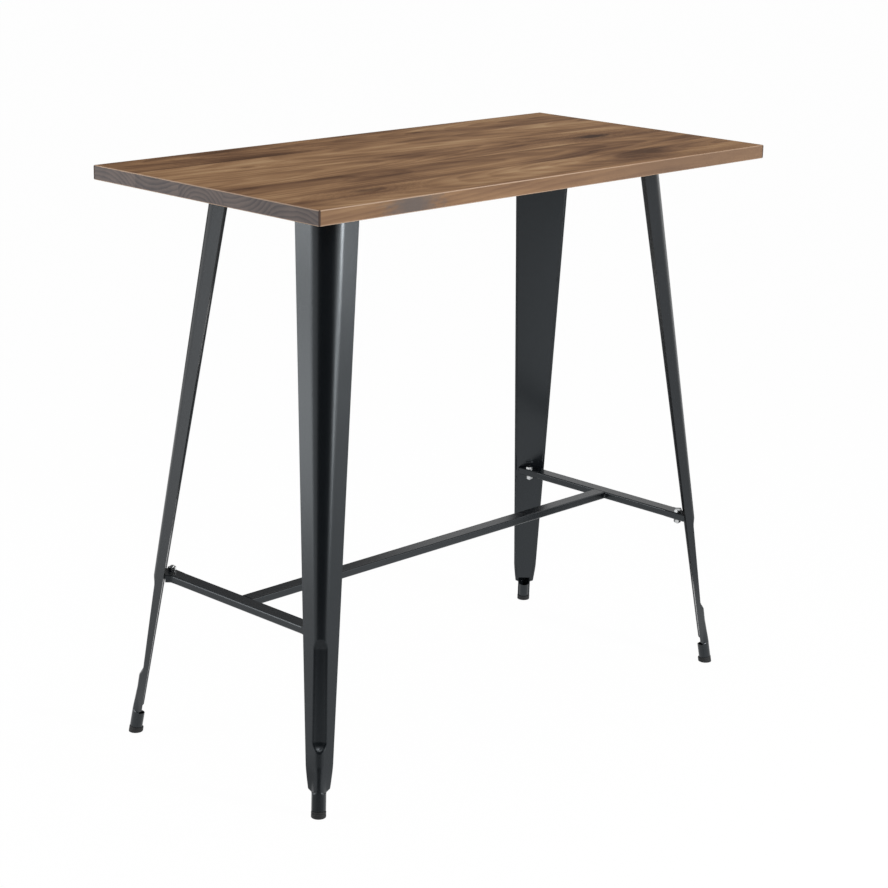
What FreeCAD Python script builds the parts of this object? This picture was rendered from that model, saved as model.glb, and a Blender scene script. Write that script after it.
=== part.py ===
# High table: a glued wooden top on four splayed legs of pressed steel sheet, tied by an
# H stretcher of rectangular tube.
# Lengths are millimetres. X runs along the top, Y across it and Z up. The origin is on the
# floor, under the middle of the top.

import FreeCAD
import Part
import math
import os

os.makedirs("parts", exist_ok=True)

Vector = FreeCAD.Vector
UP = Vector(0, 0, 1)
ROOT2 = math.sqrt(2)

# Wooden top
top_length = 1200.0
top_width = 600.0
top_thickness = 27.0
table_height = 1100.0
board_count = 5
top_edge_radius = 2.5

# Legs. Every leg stands on a corner diagonal, and its flat inner plate faces the middle.
# The widths and depths are those of level sections, at the underside and at the floor.
leg_top_inset_x = 175.5
leg_top_inset_y = 171.0
leg_floor_inset_x = 47.5
leg_floor_inset_y = 43.0
leg_top_width = 114.0
leg_top_depth = 32.7
leg_floor_width = 43.0
leg_floor_depth = 15.5
leg_sheet = 2.0
flange_angle = 40.5

# The round outer corner is ruled between level sections, and the inner face of the sheet,
# which the inner plate hides, has flats in its place.
leg_bays = 12
inner_flat_count = 12

# Flat plate that closes a leg on its inner side
inner_plate_thickness = 2.5
inner_plate_recess = 1.5
inner_plate_clearance = 0.2
inner_plate_end_height = 55.0

# Tack welds along both edges of an inner plate, by their share of its top's height
tack_height_shares = (0.278, 0.429, 0.585, 0.715, 0.84)
tack_length = 10.0
tack_leg = 1.3

# Shoulder and round neck at the foot of a leg. The flanges draw in along a curve, and turn
# to keep the ridge straight.
shoulder_start_height = 92.0
shoulder_height = 49.0
shoulder_drawn_in = 3.3
shoulder_curve = 1.4
shoulder_flange_angle = 46.5
shoulder_corner_half_width = 3.0
neck_height = 43.0
neck_end_height = 12.0
neck_radius = 13.3
neck_edge = 1.0
neck_setback = 6.0

# Half round flute, stamped along the outer corner of a leg
flute_upper_height = 307.0
flute_lower_height = 129.0
flute_radius = 11.5

# Round foot tube, held in the neck
foot_tube_clearance = 0.2
foot_tube_wall = 1.5
foot_tube_top_height = 40.0

# Rubber foot
rubber_radius = 13.6
rubber_height = 11.0
rubber_stem_clearance = 0.2
rubber_stem_length = 14.0

# Mounting plate on top of a leg, and its wood screws
mounting_plate_thickness = 4.0
mounting_plate_reach = 70.0
mounting_plate_corner = 12.0
screw_inward_distance = 38.0
screw_side_distance = 36.0
screw_diameter = 6.0
screw_hole_clearance = 0.2
screw_depth_in_wood = 20.0
screw_across_flats = 10.0
screw_head_height = 4.0

# Stretcher tube
rail_width = 30.0
rail_height = 15.0
rail_wall = 1.5
rail_corner_radius = 3.0
rail_centre_height = 323.0
end_rail_setback = 2.2

# Widened end of an end rail, and the leg bracket that it takes
rail_end_length = 38.5
rail_end_gap = 3.5
rail_end_reach = 31.5
rail_end_flare = 1.5
rail_end_wall = 2.0
rail_end_chamfer = 1.6
bracket_clearance = 0.3
bracket_length = 25.0
bracket_inner_side = 15.0
bracket_outer_side = 16.0

# Upright bolt at each leg
bolt_distance = 14.0
bolt_diameter = 8.0
bolt_hole_clearance = 0.3
nut_bore_clearance = 0.1
bolt_tip = 2.4
bolt_across_flats = 13.0
bolt_head_height = 5.3
nut_height = 6.8

# Weld beads at the two T joints
weld_leg = 3.0
weld_groove_width = 1.3
weld_groove_depth = 2.2

# Overrun of every cutting tool
overrun = 5.0

underside = table_height - top_thickness
leg_end_height = underside - mounting_plate_thickness
rail_bottom = rail_centre_height - rail_height / 2
rail_top = rail_centre_height + rail_height / 2
foot_tube_radius = neck_radius - leg_sheet - foot_tube_clearance
straight_turn = math.radians(flange_angle)
shoulder_turn = math.radians(shoulder_flange_angle)


# Places in a leg's own level frame, for the leg at +X +Y

def between(at_top, at_floor, height):
    """Value at a height that changes evenly from the floor to the underside."""
    return at_floor + (at_top - at_floor) * height / underside


def plate_centre(height):
    """Middle of the inner face plane of the leg at a height."""
    inset_x = between(leg_top_inset_x, leg_floor_inset_x, height)
    inset_y = between(leg_top_inset_y, leg_floor_inset_y, height)
    return Vector(top_length / 2 - inset_x, top_width / 2 - inset_y, height)


def leg_point(inward, sideways, height):
    """Point by its distance inward along the diagonal and sideways across it."""
    across = Vector(sideways - inward, -sideways - inward, 0)
    return plate_centre(height) + across / ROOT2


def shoulder_share(height):
    """Zero on the straight part of the leg, and one at the shoulder."""
    share = (shoulder_start_height - height) / (shoulder_start_height - shoulder_height)
    return min(max(share, 0), 1)


def half_width(height):
    drawn_in = shoulder_drawn_in * shoulder_share(height) ** shoulder_curve
    return between(leg_top_width, leg_floor_width, height) / 2 - drawn_in


def flange_turn(height):
    return straight_turn + (shoulder_turn - straight_turn) * shoulder_share(height)


def corner_depth(height):
    """Depth of the straight part of the leg."""
    return between(leg_top_depth, leg_floor_depth, height)


def corner_half_width(height):
    """Half width of the rounded corner. On the straight part it gives the leg its depth."""
    straight = max(height, shoulder_start_height)
    gable = half_width(straight) * math.tan(straight_turn)
    steep = math.tan(straight_turn) - math.tan(straight_turn / 2)
    rounded = (gable - corner_depth(straight)) / steep
    return rounded + (shoulder_corner_half_width - rounded) * shoulder_share(height)


# Middle of an end rail, and where its widened end begins

end_rail_x = plate_centre(rail_centre_height).x - end_rail_setback
rail_end_start = plate_centre(rail_centre_height).y - rail_end_length


# Closed shapes

def line(start, end):
    return Part.LineSegment(start, end).toShape()


def arc(start, middle, end):
    return Part.Arc(start, middle, end).toShape()


def polygon_face(points):
    return Part.Face(Part.makePolygon(points + [points[0]]))


def flat_sided(low, high):
    """Solid between two polygons whose matching sides are parallel."""
    sides = []
    for k in range(len(low)):
        sides.append(polygon_face([low[k - 1], low[k], high[k], high[k - 1]]))
    return Part.Solid(Part.Shell(sides + [polygon_face(low), polygon_face(high)]))


def even_polygon(centre, across_flats, sides):
    """Level face with equal sides."""
    corner = across_flats / 2 / math.cos(math.pi / sides)
    turns = [2 * math.pi * k / sides for k in range(sides)]
    return polygon_face([centre + Vector(math.cos(a), math.sin(a), 0) * corner for a in turns])


def hex_prism(seat, across_flats, height, upward):
    """Hexagonal prism on a level seat."""
    return even_polygon(seat, across_flats, 6).extrude(UP * (upward * height))


def stood_along(solid, low, high):
    """Move an upright solid so that its axis runs from one point towards another."""
    solid.Placement = FreeCAD.Placement(low, FreeCAD.Rotation(UP, high - low))
    return solid


# Leg shell

def leg_section(height, inset, opening):
    """Level section of two flanges and the rounded corner between them. inset moves it
    inside the sheet, and opening carries the flanges past the inner face."""
    turn = flange_turn(height)
    half = half_width(height)
    rounded = corner_half_width(height)
    radius = rounded / math.sin(turn) - inset
    tip_side = half - inset / math.sin(turn) + opening / math.tan(turn)
    start_side = radius * math.sin(turn)
    start_depth = -(half - rounded) * math.tan(turn) + inset * math.cos(turn)
    outer_depth = radius * (1 - math.cos(turn)) - start_depth
    return section_points((opening, tip_side), (start_depth, start_side), outer_depth, height)


def neck_section(height, inset, opening):
    """Half round section that holds the foot tube."""
    small = neck_radius - inset
    tip = (neck_edge - neck_setback + opening, small)
    return section_points(tip, (-neck_setback, small), neck_setback + small, height)


def section_points(tip, start, outer_depth, height):
    """Tips, starts of the corner and its outermost point, from one flange to the other."""
    return [
        leg_point(tip[0], tip[1], height),
        leg_point(start[0], start[1], height),
        leg_point(-outer_depth, 0, height),
        leg_point(start[0], -start[1], height),
        leg_point(tip[0], -tip[1], height),
    ]


def section_wire(points, flats):
    """Closed section. Its corner is one arc, or equal flats where a number is given."""
    tip_a, start_a, outermost, start_b, tip_b = points
    corner = arc(start_a, outermost, start_b)
    edges = [corner]
    if flats:
        stops = corner.discretize(flats + 1)
        edges = [line(a, b) for a, b in zip(stops, stops[1:])]
    return Part.Wire([line(tip_a, start_a)] + edges + [line(start_b, tip_b), line(tip_b, tip_a)])


def leg_body(inset, opening, longer, bays, flats):
    """Solid inside a leg's outer face, or inside its sheet when inset is the sheet."""
    bay = (leg_end_height + longer - shoulder_start_height) / bays
    heights = [shoulder_start_height + bay * k for k in range(bays, -1, -1)]
    heights += [(shoulder_start_height + shoulder_height) / 2, shoulder_height]
    sections = [leg_section(height, inset, opening) for height in heights] + [
        neck_section(neck_height, inset, opening),
        neck_section(neck_end_height - overrun - longer, inset, opening),
    ]
    return Part.makeLoft([section_wire(points, flats) for points in sections], True, True)


def flute_axis():
    """Ends of the line along which the flute is stamped, on the ridge of the corner."""
    heights = (flute_lower_height, flute_upper_height)
    return [leg_point(-corner_depth(height), 0, height) for height in heights]


def flute_tool():
    """Bar with ball ends that shapes the outer face of the flute."""
    low, high = flute_axis()
    length = (high - low).Length
    radius = flute_radius
    bend = radius / ROOT2
    outline = Part.Wire([
        arc(Vector(0, 0, -radius), Vector(bend, 0, -bend), Vector(radius, 0, 0)),
        line(Vector(radius, 0, 0), Vector(radius, 0, length)),
        arc(Vector(radius, 0, length), Vector(bend, 0, length + bend), Vector(0, 0, length + radius)),
        line(Vector(0, 0, length + radius), Vector(0, 0, -radius)),
    ])
    return stood_along(Part.Face(outline).revolve(Vector(0, 0, 0), UP, 360), low, high)


def flute_lining():
    """Flat-sided bar, one sheet larger than the flute, that shapes its hidden side."""
    low, high = flute_axis()
    reach = flute_radius + leg_sheet
    base = even_polygon(UP * -reach, 2 * reach, inner_flat_count)
    return stood_along(base.extrude(UP * ((high - low).Length + 2 * reach)), low, high)


def leg_shell():
    """Pressed sheet between the two bodies, its end square to the foot tube."""
    outside = leg_body(0, 0, 0, leg_bays, 0).cut(flute_tool())
    inside = leg_body(leg_sheet, overrun, overrun, 1, inner_flat_count).cut(flute_lining())
    return outside.cut(inside).cut(turned_on_foot_axis([
        (0, -overrun),
        (neck_radius + overrun, -overrun),
        (neck_radius + overrun, neck_end_height),
        (0, neck_end_height),
    ]))


# Inner plate and its tack welds

def flange_inner_side(inward, height):
    """Sideways place of the inner face of a flange."""
    turn = flange_turn(height)
    return half_width(height) - leg_sheet / math.sin(turn) + inward / math.tan(turn)


def inner_plate_section(height):
    face = -inner_plate_recess
    back = face - inner_plate_thickness
    wide = flange_inner_side(face, height) - inner_plate_clearance
    narrow = wide - inner_plate_thickness / math.tan(straight_turn)
    corners = [(face, wide), (back, narrow), (back, -narrow), (face, -wide)]
    return [leg_point(depth, side, height) for depth, side in corners]


def inner_plate():
    """Flat plate that narrows with the flanges and ends above the neck."""
    end, bend, top = [
        inner_plate_section(height)
        for height in (inner_plate_end_height, shoulder_start_height, leg_end_height)]
    return flat_sided(end, bend).fuse(flat_sided(bend, top)).removeSplitter()


def tack_section(height, hand):
    """Small fillet between the face of the plate and the inside of a flange."""
    face = -inner_plate_recess
    root = flange_inner_side(face, height)
    toe = flange_inner_side(face + tack_leg, height)
    corners = [(face, root), (face + tack_leg, toe), (face, root - tack_leg)]
    return [leg_point(depth, hand * side, height) for depth, side in corners]


def tack_welds():
    beads = []
    for share in tack_height_shares:
        low = share * leg_end_height
        for hand in (1, -1):
            beads.append(flat_sided(tack_section(low, hand), tack_section(low + tack_length, hand)))
    return Part.makeCompound(beads)


# Foot

def turned_on_foot_axis(profile):
    """Solid of revolution about the leaning axis of the foot. Each profile point is a
    radius and a distance up the axis from the floor."""
    outline = polygon_face([Vector(radius, 0, along) for radius, along in profile])
    solid = outline.revolve(Vector(0, 0, 0), UP, 360)
    return stood_along(solid, leg_point(-neck_setback, 0, 0), leg_point(-neck_setback, 0, underside))


def foot_tube():
    bore_radius = foot_tube_radius - foot_tube_wall
    return turned_on_foot_axis([
        (bore_radius, rubber_height),
        (foot_tube_radius, rubber_height),
        (foot_tube_radius, foot_tube_top_height),
        (bore_radius, foot_tube_top_height),
    ])


def rubber_foot():
    """Pad with a stem in the tube, cut level with the floor."""
    stem_radius = foot_tube_radius - foot_tube_wall - rubber_stem_clearance
    pad = turned_on_foot_axis([
        (0, -overrun),
        (rubber_radius, -overrun),
        (rubber_radius, rubber_height),
        (stem_radius, rubber_height),
        (stem_radius, rubber_height + rubber_stem_length),
        (0, rubber_height + rubber_stem_length),
    ])
    reach = 2 * rubber_radius
    corner = leg_point(-neck_setback, 0, 0) - Vector(reach, reach, reach)
    below_floor = Part.makeBox(2 * reach, 2 * reach, reach, corner)
    return pad.cut(below_floor)


# Mounting plate, in one piece with its screws

def mounting_plate():
    """Level plate that follows the leg's section outward and reaches inward past it."""
    height = leg_end_height
    half = half_width(height)
    start_side = corner_half_width(height)
    start_depth = (start_side - half) * math.tan(straight_turn)
    reach = mounting_plate_reach
    corner = mounting_plate_corner
    bend = corner * (1 - 1 / ROOT2)

    def at(inward, sideways):
        return leg_point(inward, sideways, height)

    outline = Part.Wire([
        line(at(0, half), at(start_depth, start_side)),
        arc(at(start_depth, start_side), at(-corner_depth(height), 0), at(start_depth, -start_side)),
        line(at(start_depth, -start_side), at(0, -half)),
        line(at(0, -half), at(reach - corner, -half)),
        arc(at(reach - corner, -half), at(reach - bend, -half + bend), at(reach, -half + corner)),
        line(at(reach, -half + corner), at(reach, half - corner)),
        arc(at(reach, half - corner), at(reach - bend, half - bend), at(reach - corner, half)),
        line(at(reach - corner, half), at(0, half)),
    ])
    plate = Part.Face(outline).extrude(UP * mounting_plate_thickness)
    for place in screw_places():
        plate = plate.fuse(wood_screw(place))
    return plate.removeSplitter()


def screw_places():
    sides = (-screw_side_distance, screw_side_distance)
    return [leg_point(screw_inward_distance, side, leg_end_height) for side in sides]


def wood_screw(place):
    """Hexagonal head under the plate and a plain shank that reaches into the wood."""
    tip = underside + screw_depth_in_wood
    head = hex_prism(place, screw_across_flats, screw_head_height, -1)
    shank = Part.makeCylinder(screw_diameter / 2, tip - leg_end_height, place, UP)
    return head.fuse(shank)


def pilot_bore(place):
    """Hole in the wood for the shank of a screw."""
    radius = screw_diameter / 2 + screw_hole_clearance
    depth = screw_depth_in_wood + screw_hole_clearance
    low = Vector(place.x, place.y, underside - overrun)
    return Part.makeCylinder(radius, depth + overrun, low, UP)


# Wooden top

def top_boards(pilot_holes):
    boards = []
    width = top_width / board_count
    for k in range(board_count):
        low = Vector(-top_length / 2, -top_width / 2 + k * width, underside)
        board = Part.makeBox(top_length, width, top_thickness, low)
        board = board.makeFillet(top_edge_radius, [edge for edge in board.Edges if is_outer(edge)])
        boards.append(board.cut(pilot_holes))
    return boards


def is_outer(edge):
    """True for a level edge of a board on the outline of the whole top."""
    middle = edge.BoundBox.Center
    on_end = abs(middle.x) > top_length / 2 - top_edge_radius
    on_side = abs(middle.y) > top_width / 2 - top_edge_radius
    return edge.BoundBox.ZLength < top_edge_radius and (on_end or on_side)


# Stretcher

def rounded_section(centre, across, width, height, radius):
    """Rounded rectangle, upright, with its width along a level direction."""
    side = across * (width / 2 - radius)
    lift = UP * (height / 2 - radius)
    bend = radius / ROOT2
    edges = []
    signs = [(1, 1), (-1, 1), (-1, -1), (1, -1)]
    for k, (a, b) in enumerate(signs):
        core = centre + side * a + lift * b
        wide = core + across * (radius * a)
        tall = core + UP * (radius * b)
        middle = core + across * (bend * a) + UP * (bend * b)
        first, last = (wide, tall) if k % 2 == 0 else (tall, wide)
        edges.append(arc(first, middle, last))
        c, d = signs[(k + 1) % 4]
        next_core = centre + side * c + lift * d
        if k % 2 == 0:
            edges.append(line(last, next_core + UP * (radius * d)))
        else:
            edges.append(line(last, next_core + across * (radius * c)))
    return Part.Wire(edges)


def rail(start, end, across):
    """Rectangular tube, laid flat, from one point to another."""
    outer = rounded_section(start, across, rail_width, rail_height, rail_corner_radius)
    side = across * (rail_width / 2 - rail_wall)
    lift = UP * (rail_height / 2 - rail_wall)
    inner = polygon_face([start + side + lift, start - side + lift, start - side - lift, start + side - lift])
    return Part.Face(outer).extrude(end - start).cut(inner.extrude(end - start))


def rail_end_outline(longer):
    """Plan of a widened rail end. longer carries it past its open ends."""
    height = rail_centre_height
    inner_x = end_rail_x - rail_width / 2
    outer_x = end_rail_x + rail_width / 2
    centre = plate_centre(height)
    inner_start = Vector(inner_x, rail_end_start, height)
    wide_x = inner_x - rail_end_flare
    wide_y = centre.x + centre.y - rail_end_gap * ROOT2 - wide_x
    inner_end = Vector(wide_x, wide_y, height)
    along = (inner_end - inner_start).normalize()
    inner_end = inner_end + along * (longer * ROOT2)
    slack = (inner_end - centre).dot(Vector(-1, -1, 0)) / ROOT2
    outer_end = leg_point(slack, rail_end_reach, height)
    turning = leg_point(rail_end_reach - (outer_x - centre.x) * ROOT2, rail_end_reach, height)
    outer_start = Vector(outer_x, rail_end_start - longer, height)
    inner_start = inner_start + Vector(0, -longer, 0)
    return [inner_start, inner_end, outer_end, turning, outer_start]


def rail_end_prism(inset, longer, low, high):
    """Upright solid on the plan of a rail end, drawn in by inset with sharp corners."""
    face = polygon_face(rail_end_outline(longer))
    if inset:
        face = face.makeOffset2D(-inset, 2)
    face.translate(Vector(0, 0, low - rail_centre_height))
    return face.extrude(UP * (high - low))


def bolt_axis(height):
    place = leg_point(bolt_distance, 0, rail_centre_height)
    return Vector(place.x, place.y, height)


def bolt_bore():
    radius = bolt_diameter / 2 + bolt_hole_clearance
    low = rail_bottom - overrun
    return Part.makeCylinder(radius, rail_height + 2 * overrun, bolt_axis(low), UP)


def rail_end():
    """Hollow end, open to the leg and to the tube, with its long edges eased."""
    body = rail_end_prism(0, 0, rail_bottom, rail_top)
    rims = [edge for edge in body.Edges if is_eased_rim(edge)]
    body = body.makeChamfer(rail_end_chamfer, rims)
    cavity = rail_end_prism(
        rail_end_wall, overrun, rail_bottom + rail_end_wall, rail_top - rail_end_wall)
    return body.cut(cavity).cut(bolt_bore())


def is_eased_rim(edge):
    """True for a level edge along a side of the rail end, not across its open ends."""
    middle = edge.BoundBox.Center
    inward = (plate_centre(rail_centre_height) - middle).dot(Vector(1, 1, 0)) / ROOT2
    level = edge.BoundBox.ZLength < rail_end_wall
    beside_leg = inward < rail_end_gap + rail_end_wall
    beside_tube = middle.y < rail_end_start + rail_end_wall
    return level and not beside_leg and not beside_tube


def leg_bracket():
    """Solid tongue on the inner plate that goes into the rail end and takes the bolt."""
    low = rail_bottom + rail_end_wall
    high = rail_top - rail_end_wall
    fit = rail_end_prism(rail_end_wall + bracket_clearance, leg_top_depth, low, high)
    corners = [
        (-overrun, -bracket_inner_side),
        (bracket_length, -bracket_inner_side),
        (bracket_length, bracket_outer_side),
        (-overrun, bracket_outer_side),
    ]
    face = polygon_face([leg_point(depth, side, low) for depth, side in corners])
    tongue = fit.common(face.extrude(UP * (high - low)))
    return tongue.cut(leg_back()).cut(bolt_bore())


def leg_back():
    """Everything behind the face of the inner plate, near the stretcher."""
    face = -inner_plate_recess
    reach = leg_top_width
    corners = [(face, reach), (face - reach, reach), (face - reach, -reach), (face, -reach)]

    def section(height):
        return [leg_point(depth, side, height) for depth, side in corners]

    return flat_sided(section(rail_bottom - overrun), section(rail_top + overrun))


# Bolt and nut, with the head above or below the rail end

def upright_bolt(upward):
    """Bolt whose head seats on the rail end, above it or below it."""
    seat = bolt_axis(rail_centre_height + upward * rail_height / 2)
    head = hex_prism(seat, bolt_across_flats, bolt_head_height, upward)
    shank = Part.makeCylinder(
        bolt_diameter / 2, rail_height + nut_height + bolt_tip, seat, UP * -upward)
    return head.fuse(shank).removeSplitter()


def hex_nut(upward):
    """Nut on the other side of the rail end from the bolt's head."""
    seat = bolt_axis(rail_centre_height - upward * rail_height / 2)
    bore = Part.makeCylinder(
        bolt_diameter / 2 + nut_bore_clearance, nut_height + 2 * overrun,
        seat + UP * (upward * overrun), UP * -upward)
    return hex_prism(seat, bolt_across_flats, nut_height, -upward).cut(bore)


# Weld beads where the centre rail meets an end rail

def joint_welds():
    """Beads at the +X end: one upright fillet on each side and one filled groove above and
    below, beside the rounded corner of the end rail."""
    face_x = end_rail_x - rail_width / 2
    flat = rail_height / 2 - rail_corner_radius
    side_y = rail_width / 2
    beads = []
    for hand in (1, -1):
        corners = [
            Vector(face_x, hand * side_y, rail_centre_height - flat),
            Vector(face_x - weld_leg, hand * side_y, rail_centre_height - flat),
            Vector(face_x, hand * (side_y + weld_leg), rail_centre_height - flat),
        ]
        beads.append(polygon_face(corners).extrude(UP * (2 * flat)))
        skin = rail_centre_height + hand * rail_height / 2
        reach = side_y - rail_corner_radius
        groove = [
            Vector(face_x, -reach, skin),
            Vector(face_x + weld_groove_width, -reach, skin),
            Vector(face_x, -reach, skin - hand * weld_groove_depth),
        ]
        beads.append(polygon_face(groove).extrude(Vector(0, 2 * reach, 0)))
    return Part.makeCompound(beads)


# Copies of a +X +Y piece at the four corners

def mirrored_x(shape):
    return shape.mirror(Vector(0, 0, 0), Vector(1, 0, 0))


def mirrored_y(shape):
    return shape.mirror(Vector(0, 0, 0), Vector(0, 1, 0))


corner_moves = {
    "back_right": lambda shape: shape,
    "back_left": mirrored_x,
    "front_right": mirrored_y,
    "front_left": lambda shape: mirrored_x(mirrored_y(shape)),
}


def at_corners(shape):
    return [move(shape) for move in corner_moves.values()]


def save(name, shape):
    """Write one node, after checking that every solid in it is whole."""
    for solid in shape.Solids:
        if not solid.isValid() or solid.Volume <= 0:
            raise ValueError(name + " holds a broken solid")
    shape.exportStep("parts/" + name + ".step")
    print(name, len(shape.Solids), "solid(s)", round(shape.Volume / 1000, 2), "cm3")


pilot_bores = [pilot_bore(place) for place in screw_places()]
pilot_holes = Part.makeCompound([copy for bore in pilot_bores for copy in at_corners(bore)])
for number, board in enumerate(top_boards(pilot_holes), start=1):
    save("top_board_" + str(number), board)

leg_pieces = {
    "leg_shell": leg_shell(),
    "leg_inner_plate": inner_plate(),
}
for corner, move in corner_moves.items():
    for piece, shape in leg_pieces.items():
        save(corner + "_" + piece, move(shape))

save("foot_tubes", Part.makeCompound(at_corners(foot_tube())))
save("rubber_feet", Part.makeCompound(at_corners(rubber_foot())))
save("mounting_plates", Part.makeCompound(at_corners(mounting_plate())))
save("rail_ends", Part.makeCompound(at_corners(rail_end())))
save("stretcher_brackets", Part.makeCompound(at_corners(leg_bracket())))
save("tack_welds", Part.makeCompound([bead for copy in at_corners(tack_welds()) for bead in copy.Solids]))

end_start = Vector(end_rail_x, -rail_end_start, rail_centre_height)
end_finish = Vector(end_rail_x, rail_end_start, rail_centre_height)
right_rail = rail(end_start, end_finish, Vector(1, 0, 0))
save("right_end_rail", right_rail)
save("left_end_rail", mirrored_x(right_rail))

centre_reach = end_rail_x - rail_width / 2
centre_start = Vector(-centre_reach, 0, rail_centre_height)
centre_finish = Vector(centre_reach, 0, rail_centre_height)
save("centre_rail", rail(centre_start, centre_finish, Vector(0, 1, 0)))

right_welds = joint_welds()
save("right_joint_welds", right_welds)
save("left_joint_welds", mirrored_x(right_welds))

for piece, make in (("bolts", upright_bolt), ("nuts", hex_nut)):
    copies = []
    for corner, move in corner_moves.items():
        upward = 1 if corner.endswith("right") else -1
        copies.append(move(make(upward)))
    save("stretcher_" + piece, Part.makeCompound(copies))
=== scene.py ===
import math
import bmesh
import bpy
import numpy as np
from mathutils import Matrix, Vector


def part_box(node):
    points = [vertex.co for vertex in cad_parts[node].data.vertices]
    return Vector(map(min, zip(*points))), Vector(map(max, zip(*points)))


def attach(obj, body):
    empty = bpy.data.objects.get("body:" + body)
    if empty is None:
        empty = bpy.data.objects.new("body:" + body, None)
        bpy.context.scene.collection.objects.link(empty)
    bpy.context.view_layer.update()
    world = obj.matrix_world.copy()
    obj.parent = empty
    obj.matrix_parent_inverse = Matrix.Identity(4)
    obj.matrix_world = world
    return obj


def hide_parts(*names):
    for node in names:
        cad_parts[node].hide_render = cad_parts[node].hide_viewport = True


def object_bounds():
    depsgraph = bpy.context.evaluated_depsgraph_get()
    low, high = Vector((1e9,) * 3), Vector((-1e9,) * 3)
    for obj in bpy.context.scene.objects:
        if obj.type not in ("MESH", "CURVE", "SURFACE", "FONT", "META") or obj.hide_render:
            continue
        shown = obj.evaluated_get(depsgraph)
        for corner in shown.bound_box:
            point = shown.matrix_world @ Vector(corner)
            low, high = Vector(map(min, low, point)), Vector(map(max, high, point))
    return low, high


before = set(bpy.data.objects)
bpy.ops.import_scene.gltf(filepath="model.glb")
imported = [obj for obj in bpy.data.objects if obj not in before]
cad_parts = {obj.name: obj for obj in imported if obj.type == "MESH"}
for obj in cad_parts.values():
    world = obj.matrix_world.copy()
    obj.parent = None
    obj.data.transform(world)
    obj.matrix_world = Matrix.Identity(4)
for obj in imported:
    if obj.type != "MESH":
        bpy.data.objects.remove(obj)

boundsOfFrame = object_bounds()
halfLength, halfWidth = boundsOfFrame[1][:2]
print("frame loaded:", len(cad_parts), "nodes")


# Shader helpers

def addNode(tree, kind, inputs=None, **settings):
    made = tree.nodes.new(kind)
    for name, value in settings.items():
        setattr(made, name, value)
    for key, value in (inputs or {}).items():
        if isinstance(value, bpy.types.NodeSocket):
            tree.links.new(value, made.inputs[key])
        else:
            made.inputs[key].default_value = value
    return made


def maths(tree, operation, *values):
    return addNode(tree, "ShaderNodeMath", dict(enumerate(values)), operation=operation).outputs[0]


def vectorMaths(tree, operation, *values):
    return addNode(tree, "ShaderNodeVectorMath", dict(enumerate(values)), operation=operation).outputs


def mixColour(tree, factor, first, second):
    inputs = {"Factor": factor, 6: first, 7: second}   # 6, 7 and output 2 are its colour sockets
    return addNode(tree, "ShaderNodeMix", inputs, data_type="RGBA").outputs[2]


def remap(tree, value, low, high, toLow=0.0, toHigh=1.0):
    inputs = {"Value": value, "From Min": low, "From Max": high, "To Min": toLow, "To Max": toHigh}
    return addNode(tree, "ShaderNodeMapRange", inputs, interpolation_type="SMOOTHSTEP").outputs[0]


def noiseAt(tree, place, scale, detail):
    inputs = {"Vector": place, "Scale": scale, "Detail": detail}
    return addNode(tree, "ShaderNodeTexNoise", inputs).outputs["Fac"]


def stretchedNoise(tree, place, plan):
    return noiseAt(tree, vectorMaths(tree, "MULTIPLY", place, plan["scale"])[0], 1.0, plan["detail"])


def newGroup(name, inputs, outputs):
    group = bpy.data.node_groups.new(name, "ShaderNodeTree")
    for title, kind, value in inputs:
        socket = group.interface.new_socket(name=title, in_out="INPUT", socket_type="NodeSocket" + kind)
        socket.default_value = value
    for title in outputs:
        group.interface.new_socket(name=title, in_out="OUTPUT", socket_type="NodeSocketFloat")
    return group, addNode(group, "NodeGroupInput").outputs, addNode(group, "NodeGroupOutput").inputs


def useGroup(tree, group, inputs):
    made = addNode(tree, "ShaderNodeGroup", node_tree=group)
    for key, value in inputs.items():
        if isinstance(value, bpy.types.NodeSocket):
            tree.links.new(value, made.inputs[key])
        else:
            made.inputs[key].default_value = value
    return made.outputs


def newMaterial(name, plain):
    material = bpy.data.materials.new(name)
    material.use_nodes = True
    tree = material.node_tree
    principled = tree.nodes["Principled BSDF"]
    for key, value in plain.items():
        principled.inputs[key].default_value = value
    return material, tree, principled


def objectPlace(tree):
    return addNode(tree, "ShaderNodeTexCoord").outputs["Object"]


def dress(piece, material):
    piece.data.materials.clear()
    piece.data.materials.append(material)


# Wood: growth rings about a pith that lies off the board, so that the flat face shows
# long figure and the end shows arcs. Scales run along, across and through the board

figurePlan = {
    "slow": {"scale": (1.1, 6, 6), "detail": 2.0},
    "quick": {"scale": (5, 60, 60), "detail": 2.0},
    "quickShare": 0.08,
    "Streak": {"scale": (2.2, 46, 46), "detail": 5.0},
    "Fibre": {"scale": (11, 420, 420), "detail": 3.0},
    "Cloud": {"scale": (3.4, 14, 14), "detail": 4.0},
    "ringRise": (0.15, 0.85), "ringFall": (0.86, 1.0),
}
boardFigure, given, result = newGroup(
    "board figure",
    [
        ("Place", "Vector", (0, 0, 0)),
        ("Pith", "Vector", (0, 0, 0)),
        ("Lean", "Vector", (0, 0, 0)),
        ("Ring Width", "Float", 0.006),
        ("Wobble", "Float", 0.01),
        ("Bend", "Float", 0),
        ("Shift", "Float", 0),
    ],
    ["Ring", "Streak", "Fibre", "Cloud"],
)
along = addNode(boardFigure, "ShaderNodeSeparateXYZ", {0: given["Place"]}).outputs["X"]
leaning = {0: given["Lean"], "Scale": along}
heart = addNode(boardFigure, "ShaderNodeVectorMath", leaning, operation="SCALE").outputs[0]
heart = vectorMaths(boardFigure, "ADD", given["Pith"], heart)[0]
fromHeart = vectorMaths(boardFigure, "SUBTRACT", given["Place"], heart)[0]
fromHeart = vectorMaths(boardFigure, "MULTIPLY", fromHeart, (0, 1, 1))[0]
radius = vectorMaths(boardFigure, "LENGTH", fromHeart)["Value"]
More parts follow.
